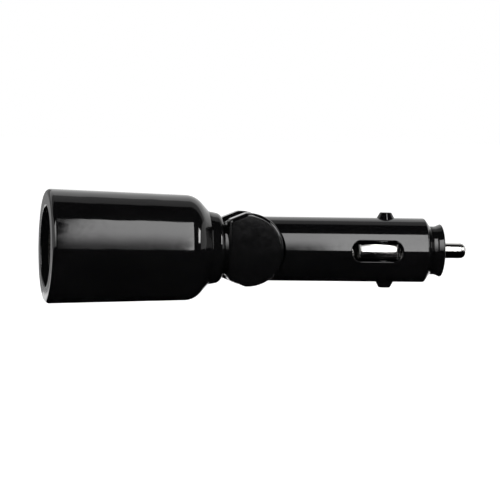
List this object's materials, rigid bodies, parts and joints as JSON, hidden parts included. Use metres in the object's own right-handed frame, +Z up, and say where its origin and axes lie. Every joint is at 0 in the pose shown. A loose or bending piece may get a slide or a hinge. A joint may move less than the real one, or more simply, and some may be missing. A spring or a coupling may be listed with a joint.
{
  "type": "lighter socket adapter",
  "caption": "Swivel adapter for a vehicle lighter socket: a round power socket on a tilting knuckle, behind a plug with sprung side contacts and a screw-off nose.",
  "frame": {"origin": "on the plug's axis, where the ears of the swivel end and the round barrel of the plug begins", "axes": "+X along the plug's axis from the socket's mouth to the plug's tip, +Y along the swivel's axis, +Z up"},
  "size_m": [0.1186, 0.0318, 0.0318],
  "materials": {
    "black_plastic": "gloss",
    "insulator": "matte",
    "white_nylon": "satin",
    "nickel": "polished",
    "brass": "satin",
    "steel": "satin",
    "fuse_glass": "gloss",
    "red_insulation": "satin",
    "black_insulation": "satin"
  },
  "bodies": {
    "plug": {"barrel_left": "black_plastic", "barrel_right": "black_plastic", "friction_washers": "white_nylon", "ground_bridge": "brass", "tip_spring": "steel", "spring_seat": "brass", "positive_lead": "red_insulation", "ground_lead": "black_insulation"},
    "head": {"yoke_left": "black_plastic", "yoke_right": "black_plastic", "neck_collar": "black_plastic", "yoke_retainer": "insulator", "retainer_screws": "steel", "socket_housing": "black_plastic", "socket_liner": "nickel", "socket_base": "insulator", "ground_tag": "brass", "centre_contact": "nickel", "centre_rivet": "brass", "positive_tag": "brass"},
    "nose": {"nose_cap": "black_plastic"},
    "tip": {"tip_contact": "nickel"},
    "fuse": {"fuse_glass": "fuse_glass", "fuse_end_caps": "nickel", "fuse_wire": "steel"},
    "left_contact": {"side_contact_left": "nickel"},
    "right_contact": {"side_contact_right": "nickel"}
  },
  "joints": [
    {"name": "swivel", "type": "hinge", "parent": "plug", "child": "head", "pos_m": [-0.0105, 0, 0], "axis": [0, 1, 0], "range_deg": [-45, 45], "deforming": ["positive_lead", "ground_lead"]},
    {"name": "nose_unscrew", "type": "slide", "parent": "plug", "child": "nose", "axis": [1, 0, 0], "range_m": [0, 0.012]},
    {"name": "tip_press", "type": "slide", "parent": "nose", "child": "tip", "axis": [-1, 0, 0], "range_m": [0, 0.0025], "stiffness_N_per_m": 2000, "springref_m": -0.001, "deforming": ["tip_spring"]},
    {"name": "fuse_follow", "type": "slide", "parent": "plug", "child": "fuse", "axis": [-1, 0, 0], "range_m": [0, 0.0025]},
    {"name": "left_contact_press", "type": "slide", "parent": "plug", "child": "left_contact", "axis": [0, -1, 0], "range_m": [0, 0.0012], "stiffness_N_per_m": 2000},
    {"name": "right_contact_press", "type": "slide", "parent": "plug", "child": "right_contact", "axis": [0, 1, 0], "range_m": [0, 0.0012], "stiffness_N_per_m": 2000}
  ],
  "couplings": [
    {"joint": "fuse_follow", "follows": "tip_press", "ratio": 1}
  ]
}
